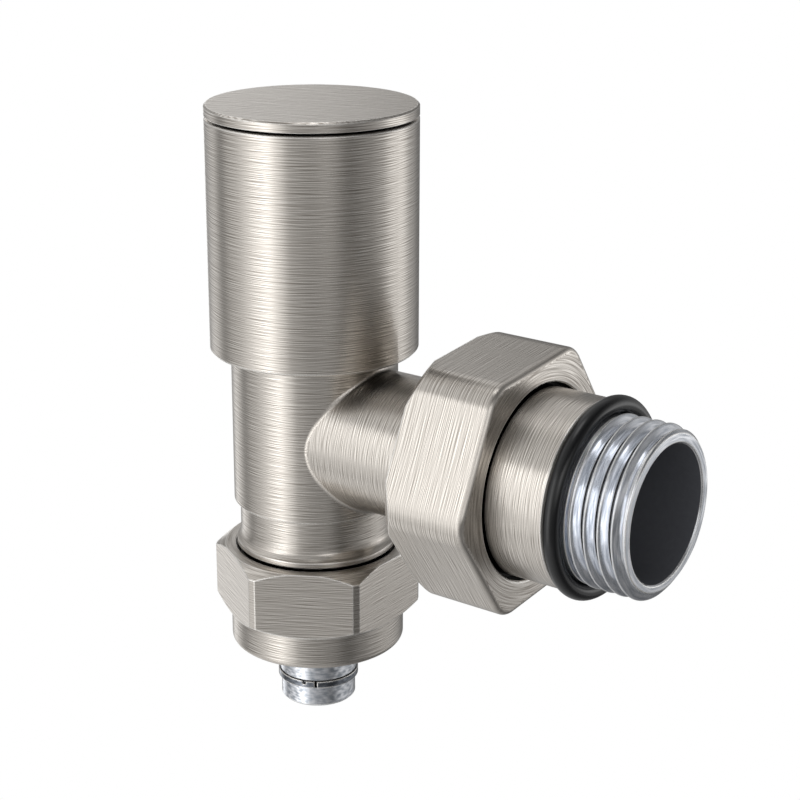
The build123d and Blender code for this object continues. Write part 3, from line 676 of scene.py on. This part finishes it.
# How bright the curtain is at each compass direction, in degrees from +X towards +Y: low, halfway up and high
CURTAIN = (
    (-180, 0.78, 0.74, 0.55),
    (-165, 0.28, 0.26, 0.45),
    (-149, 0.52, 0.7, 0.55),
    (-138, 0.65, 0.8, 0.95),
    (-126, 0.85, 1.15, 1.55),
    (-114, 1.4, 1.6, 2.6),
    (-101, 1.8, 2.4, 1.7),
    (-88, 1.15, 1.2, 1.1),
    (-76, 0.5, 0.47, 0.6),
    (-53, 0.3, 0.32, 0.9),
    (-37, 0.24, 0.2, 2.2),
    (-12, 0.14, 0.1, 0.8),
    (11, 0.34, 0.38, 0.2),
    (27, 0.52, 0.6, 0.2),
    (43, 0.52, 1.4, 0.22),
    (57, 0.45, 1.6, 0.22),
    (78, 0.45, 0.55, 0.25),
    (104, 0.2, 0.2, 0.25),
    (121, 0.2, 0.2, 0.25),
    (135, 0.4, 2.6, 0.5),
    (150, 0.38, 0.35, 0.4),
    (165, 1.35, 0.56, 0.45),
    (180, 0.78, 0.74, 0.55),
)
CURTAIN_PEAK = 2.8                  # a brightness that none of them passes
LOW_TO_MIDDLE = (-0.235, -0.125)    # the heights between which one row fades into the next
MIDDLE_TO_HIGH = (-0.05, 0.22)
SPOT_R = 0.1                        # the bright spot in the middle of a sheet
SPOT_CORE = 0.6                     # the share of its radius at which it begins to fade


def make_lit_piece(name, bm, material, tree, strength):
    """A studio piece that shines on the object and that the camera doesn't see."""
    light = add(tree, "ShaderNodeEmission", {"Strength": strength})
    finish_material(tree, light)
    mesh = bpy.data.meshes.new(name)
    bm.to_mesh(mesh)
    bm.free()
    piece = bpy.data.objects.new(name, mesh)
    bpy.context.scene.collection.objects.link(piece)
    mesh.materials.append(material)
    piece.visible_camera = False


def curtain_level(tree, share, column):
    """One of the curtain's three rows, as a ramp all the way round."""
    ramp = add(tree, "ShaderNodeValToRGB", {0: share})
    ramp.color_ramp.interpolation = "EASE"
    stops = ramp.color_ramp.elements
    while len(stops) < len(CURTAIN):
        stops.new(0.5)
    for stop, row in zip(stops, CURTAIN):
        stop.position = (row[0] + 180) / 360
        stop.color = [row[column] / CURTAIN_PEAK] * 3 + [1]
    return ramp.outputs["Color"]


def make_curtain():
    bm = bmesh.new()
    height = CURTAIN_TOP - CURTAIN_FOOT
    round_wall = {"segments": STUDIO_SEGMENTS, "radius1": CURTAIN_R, "radius2": CURTAIN_R, "depth": height}
    bmesh.ops.create_cone(bm, cap_ends=False, **round_wall)
    bmesh.ops.translate(bm, vec=(STUDIO_MIDDLE[0], 0, CURTAIN_FOOT + height / 2), verts=bm.verts)
    material, tree = new_material("lit curtain")
    parts = add(tree, "ShaderNodeSeparateXYZ", {0: seen_from(tree, STUDIO_MIDDLE)}).outputs
    angle = add(tree, "ShaderNodeMath", {0: parts["Y"], 1: parts["X"]}, operation="ARCTAN2").outputs[0]
    full_turn = {"Value": angle, "From Min": -math.pi, "From Max": math.pi}
    share = add(tree, "ShaderNodeMapRange", full_turn).outputs[0]
    level = curtain_level(tree, share, 1)
    for column, (low, high) in ((2, LOW_TO_MIDDLE), (3, MIDDLE_TO_HIGH)):
        rise = {"Value": parts["Z"], "From Min": low, "From Max": high}
        mask = add(tree, "ShaderNodeMapRange", rise).outputs[0]
        mix_in = {0: mask, COLOUR_A: level, COLOUR_B: curtain_level(tree, share, column)}
        level = add(tree, "ShaderNodeMix", mix_in, data_type="RGBA").outputs[COLOUR_OUT]
    strength = add(tree, "ShaderNodeMath", {0: level, 1: CURTAIN_PEAK}, operation="MULTIPLY").outputs[0]
    make_lit_piece("curtain", bm, material, tree, strength)


def make_sheet(name, height, pale, dark, pale_direction, spot=0):
    """A level sheet of paper inside the curtain, pale towards one compass direction and darker away from it.

    spot is what the bright spot in its middle adds.
    """
    bm = bmesh.new()
    bmesh.ops.create_circle(bm, cap_ends=True, segments=STUDIO_SEGMENTS, radius=CURTAIN_R)
    bmesh.ops.translate(bm, vec=(STUDIO_MIDDLE[0], 0, height), verts=bm.verts)
    material, tree = new_material(name)
    moved = seen_from(tree, STUDIO_MIDDLE)
    a = math.radians(pale_direction)
    pale_way = {0: moved, 1: (math.cos(a), math.sin(a), 0)}
    along = add(tree, "ShaderNodeVectorMath", pale_way, operation="DOT_PRODUCT").outputs["Value"]
    half = CURTAIN_R / 2
    fade = {"Value": along, "From Min": -half, "From Max": half, "To Min": dark, "To Max": pale}
    slope = add(tree, "ShaderNodeMapRange", fade).outputs[0]
    level = add(tree, "ShaderNodeVectorMath", {0: moved, 1: (1, 1, 0)}, operation="MULTIPLY").outputs[0]
    radius = add(tree, "ShaderNodeVectorMath", {0: level}, operation="LENGTH").outputs["Value"]
    fade = {"Value": radius, "From Min": SPOT_CORE * SPOT_R, "From Max": SPOT_R, "To Min": spot, "To Max": 0}
    extra = add(tree, "ShaderNodeMapRange", fade).outputs[0]
    strength = add(tree, "ShaderNodeMath", {0: slope, 1: extra}, operation="ADD").outputs[0]
    make_lit_piece(name, bm, material, tree, strength)


def seen_or_shown(tree):
    """1 for what the camera, a reflection or glass shows directly, and 0 for light that falls on things."""
    path = add(tree, "ShaderNodeLightPath").outputs
    shown = path["Is Camera Ray"]
    for ray in ("Is Glossy Ray", "Is Transmission Ray"):
        shown = add(tree, "ShaderNodeMath", {0: shown, 1: path[ray]}, operation="MAXIMUM").outputs[0]
    return shown


def make_world():
    world = bpy.data.worlds.new("white studio")
    bpy.context.scene.world = world
    world.use_nodes = True
    tree = world.node_tree
    tree.nodes.clear()
    soft = add(tree, "ShaderNodeBackground", {"Strength": SOFT_LIGHT})
    white = add(tree, "ShaderNodeBackground", {"Color": (1, 1, 1, 1), "Strength": 1})
    mix_in = {0: seen_or_shown(tree), 1: soft.outputs[0], 2: white.outputs[0]}
    mixed = add(tree, "ShaderNodeMixShader", mix_in)
    add(tree, "ShaderNodeOutputWorld", {"Surface": mixed.outputs[0]})


def make_floor():
    bm = bmesh.new()
    bmesh.ops.create_grid(bm, x_segments=1, y_segments=1, size=FLOOR_SIZE)
    bmesh.ops.translate(bm, vec=(0, 0, FLOOR_Z), verts=bm.verts)
    mesh = bpy.data.meshes.new("floor")
    bm.to_mesh(mesh)
    bm.free()
    floor = bpy.data.objects.new("floor", mesh)
    bpy.context.scene.collection.objects.link(floor)
    material, tree = new_material("pale floor")
    matt = add(tree, "ShaderNodeBsdfDiffuse", {"Color": linear("#f4f4f2")})
    white = add(tree, "ShaderNodeEmission", {"Strength": 1})
    mix_in = {0: seen_or_shown(tree), 1: matt.outputs[0], 2: white.outputs[0]}
    mixed = add(tree, "ShaderNodeMixShader", mix_in)
    finish_material(tree, mixed)
    mesh.materials.append(material)


def make_camera():
    """The photograph's own view."""
    azimuth = math.radians(36.509)
    elevation = math.radians(18.896)
    roll = math.radians(0.171)
    distance = 242.714 * MM
    target = Vector((-30.9, 0, 6.067)) * MM
    back = Vector(
        (
            math.sin(azimuth) * math.cos(elevation),
            -math.cos(azimuth) * math.cos(elevation),
            math.sin(elevation),
        )
    )
    data = bpy.data.cameras.new("camera")
    data.lens = 87.01
    data.sensor_width = 36
    data.clip_start = 0.01
    data.clip_end = 20
    camera = bpy.data.objects.new("camera", data)
    bpy.context.scene.collection.objects.link(camera)
    camera.location = target + back * distance
    camera.rotation_mode = "QUATERNION"
    camera.rotation_quaternion = (-back).to_track_quat("-Z", "Y") @ Quaternion(UP, roll)
    bpy.context.scene.camera = camera


make_tail()
paint_frame_pieces()

make_world()
make_floor()
make_camera()
bpy.context.scene.view_settings.view_transform = "Standard"

make_curtain()
make_sheet("paper_roof", CURTAIN_TOP, pale=0.9, dark=0.1, pale_direction=-175, spot=1.8)
make_sheet("paper_ground", CURTAIN_FOOT, pale=0.9, dark=0.12, pale_direction=-140)
